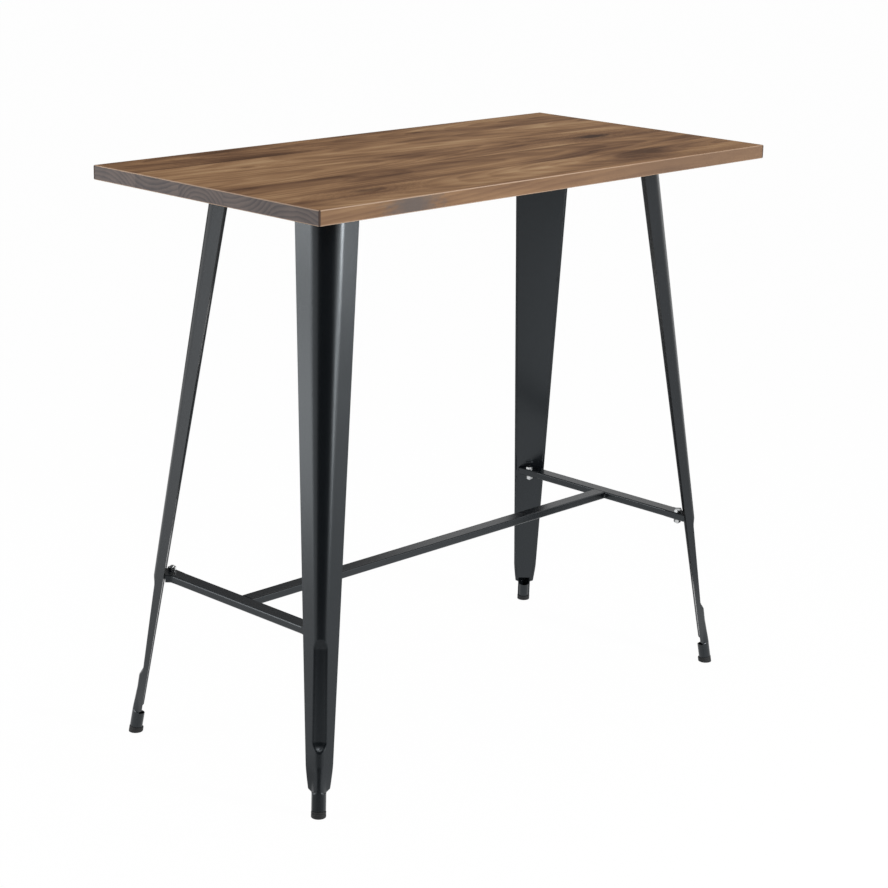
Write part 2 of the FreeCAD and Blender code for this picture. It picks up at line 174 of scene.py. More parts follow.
shifted = vectorMaths(boardFigure, "ADD", given["Place"], given["Shift"])[0]
slow = stretchedNoise(boardFigure, shifted, figurePlan["slow"])
quick = stretchedNoise(boardFigure, shifted, figurePlan["quick"])
quick = maths(boardFigure, "MULTIPLY", quick, figurePlan["quickShare"])
sway = maths(boardFigure, "ADD", maths(boardFigure, "SUBTRACT", slow, 0.5), quick)
radius = maths(boardFigure, "MULTIPLY_ADD", sway, given["Wobble"], radius)
radius = maths(boardFigure, "ADD", radius, given["Bend"])
phase = maths(boardFigure, "FRACT", maths(boardFigure, "DIVIDE", radius, given["Ring Width"]))
rise = remap(boardFigure, phase, *figurePlan["ringRise"])
fall = remap(boardFigure, phase, *figurePlan["ringFall"])
boardFigure.links.new(maths(boardFigure, "SUBTRACT", rise, fall), result["Ring"])
for title in ("Streak", "Fibre", "Cloud"):
    boardFigure.links.new(stretchedNoise(boardFigure, shifted, figurePlan[title]), result[title])

# Knot: a dark heart, a halo round it, and rings that bend to pass it. Reaches are in knot sizes
knotPlan = {
    "ragged": {"scale": (60, 160, 160), "detail": 3.0},
    "raggedNoise": (0.2, 0.8), "raggedReach": (0.6, 1.4),
    "heart": (0.35, 1.1), "halo": (0.4, 3.4), "bend": 1.5,
}
knotFigure, given, result = newGroup(
    "knot figure",
    [
        ("Place", "Vector", (0, 0, 0)),
        ("Centre", "Vector", (0, 0, 0)),
        ("Size", "Float", 0.01),
        ("Stretch", "Float", 3),
    ],
    ["Heart", "Halo", "Bend"],
)
fromKnot = vectorMaths(knotFigure, "SUBTRACT", given["Place"], given["Centre"])[0]
parts = addNode(knotFigure, "ShaderNodeSeparateXYZ", {0: fromKnot}).outputs
squeezed = addNode(knotFigure, "ShaderNodeCombineXYZ", {
    0: maths(knotFigure, "DIVIDE", parts["X"], given["Stretch"]),
    1: parts["Y"],
    2: 0.0,
}).outputs[0]
ragged = stretchedNoise(knotFigure, given["Place"], knotPlan["ragged"])
ragged = remap(knotFigure, ragged, *knotPlan["raggedNoise"], *knotPlan["raggedReach"])
distance = vectorMaths(knotFigure, "LENGTH", squeezed)["Value"]
distance = maths(knotFigure, "DIVIDE", distance, given["Size"])
distance = maths(knotFigure, "MULTIPLY", distance, ragged)
halo = remap(knotFigure, distance, *knotPlan["halo"], 1.0, 0.0)
bend = maths(knotFigure, "MULTIPLY", maths(knotFigure, "MULTIPLY", halo, given["Size"]), knotPlan["bend"])
knotFigure.links.new(remap(knotFigure, distance, *knotPlan["heart"], 1.0, 0.0), result["Heart"])
knotFigure.links.new(halo, result["Halo"])
knotFigure.links.new(bend, result["Bend"])

# End grain, long sides, eased edges and sharp corners, told apart by facing and place
facePlan = {
    "turned": (0.55, 0.85), "upward": (0.15, 0.5), "level": (0.85, 0.99),
    "cornerFrom": 0.0040, "cornerTo": 0.0015,
}
faceKind, given, result = newGroup(
    "face kind",
    [("Facing", "Vector", (0, 0, 1)), ("Place", "Vector", (0, 0, 0))],
    ["End", "Side", "Eased", "Corner"],
)
facing = vectorMaths(faceKind, "ABSOLUTE", given["Facing"])[0]
facing = addNode(faceKind, "ShaderNodeSeparateXYZ", {0: facing}).outputs
faceKind.links.new(remap(faceKind, facing["X"], *facePlan["turned"]), result["End"])
faceKind.links.new(remap(faceKind, facing["Y"], *facePlan["turned"]), result["Side"])
upward = remap(faceKind, facing["Z"], *facePlan["upward"])
notLevel = remap(faceKind, facing["Z"], *facePlan["level"], 1.0, 0.0)
faceKind.links.new(maths(faceKind, "MULTIPLY", upward, notLevel), result["Eased"])
reach = vectorMaths(faceKind, "ABSOLUTE", given["Place"])[0]
reach = addNode(faceKind, "ShaderNodeSeparateXYZ", {0: reach}).outputs
nearEdges = []
for axis, half in (("X", halfLength), ("Y", halfWidth)):
    low, high = half - facePlan["cornerFrom"], half - facePlan["cornerTo"]
    nearEdges.append(remap(faceKind, reach[axis], low, high))
faceKind.links.new(maths(faceKind, "MULTIPLY", *nearEdges), result["Corner"])

woodTones = {
    "deep": (0.082, 0.042, 0.023, 1),
    "dark": (0.155, 0.082, 0.044, 1),
    "mid": (0.265, 0.150, 0.076, 1),
    "light": (0.420, 0.275, 0.150, 1),
    "endDark": (0.082, 0.075, 0.077, 1),
    "endLight": (0.150, 0.125, 0.115, 1),
    # darker tone for the long sides: painted shade
    "side": (0.135, 0.090, 0.063, 1),
    "grey": (0.100, 0.086, 0.080, 1),
    # lighter tone for the eased edges: partly wear where the stain is rubbed off, partly a painted
    # highlight
    "wornAndHighlit": (0.400, 0.290, 0.215, 1),
    "corner": (0.060, 0.042, 0.035, 1),
    "knot": (0.045, 0.026, 0.018, 1),
}
woodPlan = {
    "toneStops": {"deep": 0.05, "dark": 0.28, "mid": 0.54, "light": 0.90},
    "tone": 0.50, "ringTone": -0.13, "knotTone": -0.14,
    "noiseTones": {"Cloud": 1.15, "Streak": 0.75, "Fibre": 0.35},
    "wobble": 0.045, "knotStretch": 2.8, "markStretch": 2.6,
    "sideShadeShare": 0.50, "wearAndHighlight": 0.85,
    # toward the right end the long sides take more painted shade, and the edges' wear and painted highlight
    # fade
    "rightEndFade": (-0.15, 0.35), "rightEndSideShade": 0.25, "rightEndWearAndHighlightFade": -0.40,   # toward the right end
    "edgeMark": (-0.385, -0.3), "edgeMarkSize": 0.016, "edgeMarkStretch": 1.6, "edgeMarkShare": 0.9,
    "endRings": 0.30, "endTones": (0.20, 1.05),
    "roughness": 0.53, "roughSway": 0.18, "gloss": 0.02,
    "fibreDepth": 0.00012, "ringDepth": 0.35, "bump": 0.6,
}

# Each board: pith beside it, lean of the pith along the board, a knot and a soft mark
boardPlans = {
    "top_board_1": {
        "pith": (0, -0.235, 1.02), "lean": (0, 0.03, 0.085), "ring": 0.0085, "shift": 3.1, "tone": 0.02,
        "knot": (-0.396, -0.206), "knotSize": 0.016, "knotDark": 0.45,
        "mark": (0.30, -0.215), "markSize": 0.020, "markTone": -0.16,
    },
    "top_board_2": {
        "pith": (0, -0.105, 1.20), "lean": (0, -0.04, 0.05), "ring": 0.0092, "shift": 9.6, "tone": -0.06,
        "knot": (0.26, -0.150), "knotSize": 0.004, "knotDark": 0.2,
        "mark": (-0.30, -0.13), "markSize": 0.016, "markTone": -0.16,
    },
    "top_board_3": {
        "pith": (0, 0.02, 1.005), "lean": (0, 0.02, -0.07), "ring": 0.0078, "shift": 14.9, "tone": 0.03,
        "knot": (0.412, -0.014), "knotSize": 0.021, "knotDark": 0.90,
        "mark": (-0.05, 0.02), "markSize": 0.020, "markTone": -0.14,
    },
    "top_board_4": {
        "pith": (0, 0.14, 1.21), "lean": (0, 0.03, -0.06), "ring": 0.0096, "shift": 21.2, "tone": 0.05,
        "knot": (-0.40, 0.11), "knotSize": 0.005, "knotDark": 0.2,
        "mark": (-0.37, 0.135), "markSize": 0.014, "markTone": 0.16,
    },
    "top_board_5": {
        "pith": (0, 0.255, 1.03), "lean": (0, -0.03, 0.08), "ring": 0.0088, "shift": 27.7, "tone": -0.02,
        "knot": (0.16, 0.24), "knotSize": 0.005, "knotDark": 0.3,
        "mark": (-0.31, 0.215), "markSize": 0.024, "markTone": -0.20,
    },
}


def knotAt(tree, place, centre, size, stretch):
    return useGroup(tree, knotFigure, {
        "Place": place, "Centre": (*centre, 0), "Size": size, "Stretch": stretch,
    })


def makeWood(name, plan):
    material, tree, principled = newMaterial("stained_wood_" + name[-1], {
        "Specular IOR Level": woodPlan["gloss"],
    })
    place = objectPlace(tree)
    knot = knotAt(tree, place, plan["knot"], plan["knotSize"], woodPlan["knotStretch"])
    mark = knotAt(tree, place, plan["mark"], plan["markSize"], woodPlan["markStretch"])
    edgeMark = knotAt(
        tree, place, woodPlan["edgeMark"], woodPlan["edgeMarkSize"], woodPlan["edgeMarkStretch"],
    )
    figure = useGroup(tree, boardFigure, {
        "Place": place, "Pith": plan["pith"], "Lean": plan["lean"], "Ring Width": plan["ring"],
        "Wobble": woodPlan["wobble"], "Bend": knot["Bend"], "Shift": plan["shift"],
    })
    facing = addNode(tree, "ShaderNodeNewGeometry").outputs["Normal"]
    kind = useGroup(tree, faceKind, {"Facing": facing, "Place": place})

    # How light the face is
    plainTone = woodPlan["tone"] + plan["tone"]
    tone = maths(tree, "MULTIPLY_ADD", figure["Ring"], woodPlan["ringTone"], plainTone)
    for title, share in woodPlan["noiseTones"].items():
        tone = maths(tree, "MULTIPLY_ADD", maths(tree, "SUBTRACT", figure[title], 0.5), share, tone)
    tone = maths(tree, "MULTIPLY_ADD", mark["Halo"], plan["markTone"], tone)
    tone = maths(tree, "MULTIPLY_ADD", knot["Halo"], woodPlan["knotTone"], tone)
    ramp = addNode(tree, "ShaderNodeValToRGB", {0: tone})
    stops = ramp.color_ramp.elements
    for stop, title in ((stops[0], "deep"), (stops[1], "light")):
        stop.position, stop.color = woodPlan["toneStops"][title], woodTones[title]
    for title in ("dark", "mid"):
        stops.new(woodPlan["toneStops"][title]).color = woodTones[title]
    knotDark = maths(tree, "MULTIPLY", knot["Heart"], plan["knotDark"])
    face = mixColour(tree, knotDark, ramp.outputs[0], woodTones["knot"])

    # Long sides, ends, eased edges and corners
    along = addNode(tree, "ShaderNodeSeparateXYZ", {0: place}).outputs["X"]
    # a ramp toward the right end: more painted shade on the sides, less wear and painted highlight on the
    # edges
    rightEndFade = remap(tree, along, *woodPlan["rightEndFade"])
    sideShadeShare = maths(tree, "MULTIPLY_ADD", rightEndFade, woodPlan["rightEndSideShade"], woodPlan["sideShadeShare"])
    # the long sides mix in a darker tone as painted shade
    side = mixColour(tree, sideShadeShare, ramp.outputs[0], woodTones["side"])
    greyShare = maths(tree, "MULTIPLY", edgeMark["Halo"], woodPlan["edgeMarkShare"])
    side = mixColour(tree, greyShare, side, woodTones["grey"])
    arcs = maths(tree, "MULTIPLY_ADD", figure["Ring"], woodPlan["endRings"], figure["Cloud"])
    arcs = remap(tree, arcs, *woodPlan["endTones"])
    ends = mixColour(tree, arcs, woodTones["endLight"], woodTones["endDark"])
    wearAndHighlight = maths(tree, "MULTIPLY_ADD", rightEndFade, woodPlan["rightEndWearAndHighlightFade"], woodPlan["wearAndHighlight"])
    colour = mixColour(tree, kind["Side"], face, side)
    colour = mixColour(tree, kind["End"], colour, ends)
    # the eased edges lighten, partly as wear and partly as a painted highlight
    colour = mixColour(tree, maths(tree, "MULTIPLY", kind["Eased"], wearAndHighlight), colour, woodTones["wornAndHighlit"])
    colour = mixColour(tree, kind["Corner"], colour, woodTones["corner"])
    tree.links.new(colour, principled.inputs["Base Color"])

    roughness = maths(tree, "MULTIPLY_ADD", figure["Streak"], woodPlan["roughSway"], woodPlan["roughness"])
    tree.links.new(roughness, principled.inputs["Roughness"])
    height = maths(tree, "MULTIPLY_ADD", figure["Ring"], woodPlan["ringDepth"], figure["Fibre"])
    bump = addNode(tree, "ShaderNodeBump", {
        "Height": height, "Distance": woodPlan["fibreDepth"], "Strength": woodPlan["bump"],
    })
    tree.links.new(bump.outputs[0], principled.inputs["Normal"])
    return material


for name, plan in boardPlans.items():
    dress(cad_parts[name], makeWood(name, plan))
print("wood done")


# Painted steel, zinc and rubber

skinPlan = {
    "grainDetail": 2.0, "cloudDetail": 4.0, "speckScale": 1.7, "speckReach": (0.05, 0.22),
    "speckShare": 0.3, "bump": 0.5,
}
skin, given, result = newGroup(
    "skin",
    [("Place", "Vector", (0, 0, 0)), ("Scale", "Float", 400), ("Cloud Scale", "Float", 9)],
    ["Grain", "Cloud", "Speck"],
)
grain = noiseAt(skin, given["Place"], given["Scale"], skinPlan["grainDetail"])
cloud = noiseAt(skin, given["Place"], given["Cloud Scale"], skinPlan["cloudDetail"])
cells = {"Vector": given["Place"], "Scale": maths(skin, "MULTIPLY", given["Scale"], skinPlan["speckScale"])}
speck = addNode(skin, "ShaderNodeTexVoronoi", cells).outputs["Distance"]
skin.links.new(grain, result["Grain"])
skin.links.new(cloud, result["Cloud"])
skin.links.new(remap(skin, speck, *skinPlan["speckReach"], 1.0, 0.0), result["Speck"])

finishes = {
    "black_steel": {
        "colour": (0.0034, 0.0044, 0.0056, 1),
        "cloudColour": (0.0052, 0.0066, 0.0082, 1),
        "tint": (0.88, 0.95, 1.0, 1),
        "metallic": 0.0, "roughness": 0.255, "roughSway": 0.05, "gloss": 0.5,
        "scale": 420, "cloudScale": 7, "depth": 0.00006,
    },
    "zinc": {
        "colour": (0.62, 0.64, 0.66, 1),
        "cloudColour": (0.78, 0.79, 0.78, 1),
        "tint": (1, 1, 1, 1),
        "metallic": 1.0, "roughness": 0.26, "roughSway": 0.14, "gloss": 0.5,
        "scale": 900, "cloudScale": 160, "depth": 0.00003,
    },
    "rubber": {
        "colour": (0.0085, 0.0090, 0.0095, 1),
        "cloudColour": (0.017, 0.018, 0.019, 1),
        "tint": (1, 1, 1, 1),
        "metallic": 0.0, "roughness": 0.72, "roughSway": 0.12, "gloss": 0.35,
        "scale": 1500, "cloudScale": 60, "depth": 0.00008,
    },
}


def makeFinish(name, plan):
    material, tree, principled = newMaterial(name, {
        "Metallic": plan["metallic"], "Specular IOR Level": plan["gloss"], "Specular Tint": plan["tint"],
    })
    parts = useGroup(tree, skin, {
        "Place": objectPlace(tree), "Scale": plan["scale"], "Cloud Scale": plan["cloudScale"],
    })
    colour = mixColour(tree, parts["Cloud"], plan["colour"], plan["cloudColour"])
    tree.links.new(colour, principled.inputs["Base Color"])
    cloud = maths(tree, "SUBTRACT", parts["Cloud"], 0.5)
    roughness = maths(tree, "MULTIPLY_ADD", cloud, plan["roughSway"], plan["roughness"])
    tree.links.new(roughness, principled.inputs["Roughness"])
    height = maths(tree, "MULTIPLY_ADD", parts["Speck"], skinPlan["speckShare"], parts["Grain"])
    bump = addNode(tree, "ShaderNodeBump", {
        "Height": height, "Distance": plan["depth"], "Strength": skinPlan["bump"],
    })
    tree.links.new(bump.outputs[0], principled.inputs["Normal"])
    return material


materials = {name: makeFinish(name, plan) for name, plan in finishes.items()}
zincNodes = ("stretcher_bolts", "stretcher_nuts")
for name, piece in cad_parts.items():
    if name in zincNodes:
        dress(piece, materials["zinc"])
    elif name == "rubber_feet":
        dress(piece, materials["rubber"])
    elif not name.startswith("top_board"):
        dress(piece, materials["black_steel"])
print("steel, zinc and rubber done")


# Meshes

def makePiece(name, points, faces, material, smooth=True):
    mesh = bpy.data.meshes.new(name)
    mesh.from_pydata([tuple(point) for point in points], [], faces)
    work = bmesh.new()
    work.from_mesh(mesh)
    bmesh.ops.recalc_face_normals(work, faces=work.faces)
    for face in work.faces:
        face.smooth = smooth
    work.to_mesh(mesh)
    work.free()
    piece = bpy.data.objects.new(name, mesh)
    bpy.context.scene.collection.objects.link(piece)
    dress(piece, material)
    return piece


def gridFaces(rows, columns, first=0, ring=False):
    faces = []
    for r in range(rows - 1):
        for c in range(columns if ring else columns - 1):
            a, b = first + r * columns + c, first + r * columns + (c + 1) % columns
            faces.append((a, b, b + columns, a + columns))
    return faces


def joinMeshes(parts):
    points, faces = [], []
    for partPoints, partFaces in parts:
        first = len(points)
        points += [tuple(point) for point in partPoints]
        faces += [tuple(first + k for k in face) for face in partFaces]
    return points, faces


def placed(part, origin, zAxis):
    points, faces = part
    turn = Vector((0, 0, 1)).rotation_difference(zAxis).to_matrix()
    return [origin + turn @ Vector(point) for point in points], faces


def bevelled(piece, width, angle=35, segments=2):
    modifier = piece.modifiers.new("soft edges", "BEVEL")
    modifier.width = width
    modifier.segments = segments
    modifier.limit_method = "ANGLE"
    modifier.angle_limit = math.radians(angle)
    modifier.harden_normals = True


# Leg shells: the pressed sheet, with soft presses at the flute, the shoulder and the neck

legPlan = {
    "topInset": (0.1755, 0.171), "floorInset": (0.0475, 0.043),
    "topWidth": 0.114, "floorWidth": 0.043, "topDepth": 0.0327, "floorDepth": 0.0155,
    "sheet": 0.002, "edge": 0.00045, "flangeAngle": 40.5, "shoulderAngle": 46.5,
    "shoulderStart": 0.092, "shoulder": 0.049, "shoulderCorner": 0.0042,
    "drawnIn": 0.0033, "drawnCurve": 1.4, "swellStart": 0.076,
    "neck": 0.043, "neckEnd": 0.012, "neckRadius": 0.0133, "neckEdge": 0.001, "setback": 0.006,
    "fluteFoot": 0.1355, "fluteTop": 0.301, "fluteEnd": 0.016,
    "fluteFootDepth": 0.0082, "fluteTopDepth": 0.0053,
    "fluteHalf": 0.0125, "fluteHollow": 0.0026, "lip": 0.0034,
    "flangeColumns": 20, "flangeCrowding": 1.5, "cornerColumns": 30, "neckStep": 0.003,
    "rowSteps": {0.041: 0.0009, 0.052: 0.0025, 0.106: 0.0016, 0.330: 0.012},   # from each height up
}
corners = {
    "back_right": (1, 1), "back_left": (-1, 1), "front_right": (1, -1), "front_left": (-1, -1),
}
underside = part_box("top_board_1")[0].z
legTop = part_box("back_right_leg_shell")[1].z
lean = math.atan((legPlan["topInset"][0] - legPlan["floorInset"][0]) * math.sqrt(2) / underside)


# Widths, depths and insets change evenly from the floor to the underside of the top
def changing(atFloor, atTop, height):
    return atFloor + (atTop - atFloor) * height / underside


# A place on a leg, from the middle of its open side: inward is toward the table's middle
def legPlace(inward, sideways, height, signs=(1, 1)):
    insetX, insetY = (changing(legPlan["floorInset"][k], legPlan["topInset"][k], height) for k in (0, 1))
    x = halfLength - insetX + (sideways - inward) / math.sqrt(2)
    y = halfWidth - insetY - (sideways + inward) / math.sqrt(2)
    return np.stack(np.broadcast_arrays(x * signs[0], y * signs[1], height), axis=-1)


# A level section as side and depth: a flange, the rounded corner and the other flange
def sectionCurve(tip, start, centreDepth, radius, sweep):
    flange = 1 - np.linspace(0, 1, legPlan["flangeColumns"], endpoint=False)
    flange = flange ** legPlan["flangeCrowding"]   # columns lie closer beside the corner
    turn = np.linspace(sweep, -sweep, legPlan["cornerColumns"] + 1)
    flangeSide = start[0] + (tip[0] - start[0]) * flange
    flangeDepth = start[1] + (tip[1] - start[1]) * flange
    side = np.concatenate([flangeSide, radius * np.sin(turn), -flangeSide[::-1]])
    depth = np.concatenate([flangeDepth, centreDepth - radius * np.cos(turn), flangeDepth[::-1]])
    return np.stack([side, depth], axis=-1)


def shoulderShare(height):
    share = (legPlan["shoulderStart"] - height) / (legPlan["shoulderStart"] - legPlan["shoulder"])
    return min(max(share, 0), 1)


def flangeReach(height):
    drawn = legPlan["drawnIn"] * shoulderShare(height) ** legPlan["drawnCurve"]
    return changing(legPlan["floorWidth"], legPlan["topWidth"], height) / 2 - drawn


def flangeTurn(height):
    straight, steep = legPlan["flangeAngle"], legPlan["shoulderAngle"]
    return math.radians(straight + (steep - straight) * shoulderShare(height))


def ridgeDepth(height):
    return changing(legPlan["floorDepth"], legPlan["topDepth"], height)


def cornerWidth(height):
    straight = max(height, legPlan["shoulderStart"])
    turn = flangeTurn(straight)
    rounded = flangeReach(straight) * math.tan(turn) - ridgeDepth(straight)
    rounded /= math.tan(turn) - math.tan(turn / 2)
    return rounded + (legPlan["shoulderCorner"] - rounded) * shoulderShare(height)


def angleCurve(height, inset):
    half, corner, turn = flangeReach(height), cornerWidth(height), flangeTurn(height)
    radius = corner / math.sin(turn) - inset
    startDepth = inset * math.cos(turn) - (half - corner) * math.tan(turn)
    tip = (half - inset / math.sin(turn), 0)
    start = (radius * math.sin(turn), startDepth)
    return sectionCurve(tip, start, startDepth + radius * math.cos(turn), radius, turn)


def neckCurve(inset):
    radius = legPlan["neckRadius"] - inset
    setback = legPlan["setback"]
    tip, start = (radius, legPlan["neckEdge"] - setback), (radius, -setback)
    return sectionCurve(tip, start, -setback, radius, math.pi / 2)


def eased(share):
    share = min(max(share, 0), 1)
    return share * share * (3 - 2 * share)


# The angled section turns into the round neck, and its ridge swells a little above it
def legCurve(height, inset):
    shoulder = angleCurve(max(height, legPlan["shoulder"]), inset)
    share = eased((legPlan["shoulder"] - height) / (legPlan["shoulder"] - legPlan["neck"]))
    curve = shoulder + (neckCurve(inset) - shoulder) * share
    swell = eased((legPlan["swellStart"] - height) / (legPlan["swellStart"] - legPlan["neck"]))
    radius = legPlan["neckRadius"] - inset
    room = np.maximum(1 - (curve[:, 0] / radius) ** 2, 0)
    rounded = -legPlan["setback"] - radius * np.sqrt(room)
    curve[:, 1] += np.minimum(rounded - curve[:, 1], 0) * room * swell
    return curve


# Flute: a shallow hollow pressed into the corner, with soft ends and lips
def flutedDepth(curve, height, inset):
    foot, top, lip = legPlan["fluteFoot"], legPlan["fluteTop"], legPlan["lip"]
    beyond = max(foot - height, height - top, 0)
    along = min(max((height - foot) / (top - foot), 0), 1)
    deep = legPlan["fluteFootDepth"] + (legPlan["fluteTopDepth"] - legPlan["fluteFootDepth"]) * along
    groove = deep * (1 - (beyond / legPlan["fluteEnd"]) ** 2) + inset - ridgeDepth(height)
    groove = groove - legPlan["fluteHollow"] * (curve[:, 0] / legPlan["fluteHalf"]) ** 2
    near = np.maximum(lip - np.abs(curve[:, 1] - groove), 0) / lip
    return np.maximum(curve[:, 1], groove) + near ** 2 * lip / 4   # blended where the two meet


def legHeights():
    lows = [legPlan["neckEnd"] * math.cos(lean), *legPlan["rowSteps"]]
    steps = [legPlan["neckStep"], *legPlan["rowSteps"].values()]
    heights = []
    for low, high, step in zip(lows, lows[1:] + [legTop], steps):
        heights.append(np.linspace(low, high, round((high - low) / step), endpoint=False))
    return np.append(np.concatenate(heights), legTop)


def legSurface(inset, signs):
    rows = []
    for height in legHeights():
        curve = legCurve(height, inset)
        if height > legPlan["shoulderStart"]:
            curve[:, 1] = flutedDepth(curve, height, inset)
        low = max(legPlan["neck"] - height, 0) / (legPlan["neck"] - legPlan["neckEnd"] * math.cos(lean))
        # rows turn square to the leg toward the end of the neck
        heights = height - (curve[:, 1] + legPlan["setback"]) * math.sin(lean) * math.cos(lean) * low
        rows.append(legPlace(curve[:, 1], curve[:, 0], heights, signs))
    return np.array(rows)


def legShell(name, signs):
    outer, inner = legSurface(0, signs), legSurface(legPlan["sheet"], signs)
    rows, columns = outer.shape[:2]
    points = np.concatenate([outer.reshape(-1, 3), inner.reshape(-1, 3)])
    second = rows * columns
    faces = gridFaces(rows, columns) + gridFaces(rows, columns, second)
    rim = [r * columns for r in range(rows)]   # once round the sheet's edge
    rim += [(rows - 1) * columns + c for c in range(1, columns)]
    rim += [r * columns + columns - 1 for r in range(rows - 2, -1, -1)]
    rim += list(range(columns - 2, 0, -1))
    faces += [(a, b, b + second, a + second) for a, b in zip(rim, rim[1:] + rim[:1])]
    piece = makePiece(name + "_pressed_shell", points, faces, materials["black_steel"])
    bevelled(piece, legPlan["edge"])
    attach(piece, "root")
    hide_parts(name + "_leg_shell")


for name, signs in corners.items():
    legShell(name, signs)
print("leg shells done")


# Welds: rippled beads at the T joints and short tacks along the inner plates

weldPlan = {
    "columns": 9, "ripple": 0.0017, "rowsPerRipple": 6, "fewestRows": 12, "rippleDip": 0.10,
    "endSize": 0.02, "endRoom": 0.4, "trail": 0.5,
    "tackShares": (0.278, 0.429, 0.585, 0.715, 0.84), "tackLength": 0.010, "tackRadius": 0.0016,
    "tackRipple": 0.0025, "plateRecess": 0.0015,
    "jointRadius": 0.0032, "railCorner": 0.003,
    "seamRadius": 0.0021, "seamIn": 0.0006, "seamSunk": 0.0014, "seamTilt": 0.2,
}


# A bead from start to end, swept round the corner from firstWay to lastWay
def weldBead(start, end, firstWay, lastWay, radius, ripple):
    length = (end - start).length
    ahead = (end - start).normalized()
    rows = max(weldPlan["fewestRows"], round(length / ripple * weldPlan["rowsPerRipple"]))
    columns = weldPlan["columns"]
    sweep = firstWay.angle(lastWay)
    axis = firstWay.cross(lastWay).normalized()
    points = [start]
    for r in range(rows + 1):
        share = r / rows
        fall = min(share, 1 - share) * length / radius
        size = math.sqrt(max(1 - max(1 - fall, 0) ** 2, weldPlan["endSize"]))   # round at both ends
        size *= 1 - weldPlan["rippleDip"] * abs(math.sin(math.pi * share * length / ripple))
        lag = (share - 0.5) * (length - radius * weldPlan["endRoom"])
        middle = (start + end) / 2 + ahead * lag
        for c in range(columns):
            way = Matrix.Rotation(sweep * c / (columns - 1), 3, axis) @ firstWay.normalized()
            trail = math.sin(math.pi * c / (columns - 1)) * ripple * weldPlan["trail"]
            points.append(middle + way * radius * size + ahead * trail)
    points.append(end)
    faces = gridFaces(rows + 1, columns, 1)
    last = len(points) - 1
    faces += [(0, c + 2, c + 1) for c in range(columns - 1)]
    faces += [(last, last - columns + c, last - columns + c + 1) for c in range(columns - 1)]
    return points, faces


def tackParts(signs):
    parts = []
    face = -weldPlan["plateRecess"]
    for share in weldPlan["tackShares"]:
        for hand in (1, -1):
            stops = []
            for height in (share * legTop, share * legTop + weldPlan["tackLength"]):
                turn = flangeTurn(height)
                root = flangeReach(height) - legPlan["sheet"] / math.sin(turn) + face / math.tan(turn)
                stops.append((hand * root, height))
            (low, height), ways = stops[0], []
            for inward, sideways in ((0, -hand), (math.sin(turn), hand * math.cos(turn))):
                away = legPlace(face + inward, low + sideways, height, signs)
                ways.append(Vector(away - legPlace(face, low, height, signs)))
            ends = [Vector(legPlace(face, side, height, signs)) for side, height in stops]
            parts.append(weldBead(*ends, *ways, weldPlan["tackRadius"], weldPlan["tackRipple"]))
    return parts


tackBeads = [bead for signs in corners.values() for bead in tackParts(signs)]
tacks = makePiece("tack_beads", *joinMeshes(tackBeads), materials["black_steel"])
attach(tacks, "root")
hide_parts("tack_welds")


def jointParts(hand):
    low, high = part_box("centre_rail")
    faceX = hand * high.x
    corner = weldPlan["railCorner"]
    parts = []
    for side in (low.y, high.y):
        outward = math.copysign(1, side)
        ends = [Vector((faceX, side, z)) for z in (low.z + corner, high.z - corner)]
        ways = (Vector((-hand, 0, 0)), Vector((0, outward, 0)))
        parts.append(weldBead(*ends, *ways, weldPlan["jointRadius"], weldPlan["ripple"]))
    seam = faceX + hand * weldPlan["seamIn"]
    for level, up in ((low.z, -1), (high.z, 1)):
        z = level - up * weldPlan["seamSunk"]
        ends = [Vector((seam, y, z)) for y in (low.y + corner, high.y - corner)]
        ways = [Vector((way, 0, -weldPlan["seamTilt"] * up)) for way in (-hand, hand)]
        parts.append(weldBead(*ends, *ways, weldPlan["seamRadius"], weldPlan["ripple"]))
    return parts


for side, hand in (("right", 1), ("left", -1)):
    beads = makePiece(side + "_joint_beads", *joinMeshes(jointParts(hand)), materials["black_steel"])
    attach(beads, "root")
    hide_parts(side + "_joint_welds")
print("welds done")


# Bolts, nuts and screw heads

fastenerPlan = {
    "boltInward": 0.014, "boltRadius": 0.004, "acrossFlats": 0.013, "headHeight": 0.0053,
    "pitch": 0.00125, "rowsPerPitch": 8, "threadDepth": 0.00045, "boltPoint": 0.0008, "pointSize": 0.84,
    "shankSunk": 0.001, "tip": 0.0024, "nutHeight": 0.0068,
    "screwInward": 0.038, "screwSide": 0.036, "screwAcross": 0.0103, "screwHead": 0.0042,
    "chamferAngle": 30, "crown": 0.96, "lowerCut": 0.3, "easing": 0.0003, "holeEasing": 0.0004,
    "around": 72, "edge": 0.0002, "edgeAngle": 25,
}


def endCaps(rings, around, openEnd=False):
    caps = [tuple(range(around))]
    if not openEnd:
        caps.append(tuple(range((rings - 1) * around, rings * around)))
    return caps


# A hexagon standing on its seat, chamfered at the top, with a bore if it is a nut
def hexPart(acrossFlats, height, hole=0.0):
    plan = fastenerPlan
    around, easing, holeEasing = plan["around"], plan["easing"], plan["holeEasing"]
    crown = acrossFlats / 2 * plan["crown"]
    points = []
    for ring in range(6 if hole else 4):
        for k in range(around):
            turn = 2 * math.pi * k / around
            within = (turn + math.pi / 6) % (math.pi / 3) - math.pi / 6
            edge = acrossFlats / 2 / math.cos(within)
            cut = (edge - crown) * math.tan(math.radians(plan["chamferAngle"]))
            stops = [(edge - easing, 0), (edge, easing + cut * plan["lowerCut"])]
            stops += [(edge, height - cut), (crown, height)]
            stops += [(hole + holeEasing, height), (hole, height - 1.5 * holeEasing)]
            radius, z = stops[ring]
            points.append((radius * math.cos(turn), radius * math.sin(turn), z))
    rings = len(points) // around
    return points, gridFaces(rings, around, ring=True) + endCaps(rings, around, bool(hole))


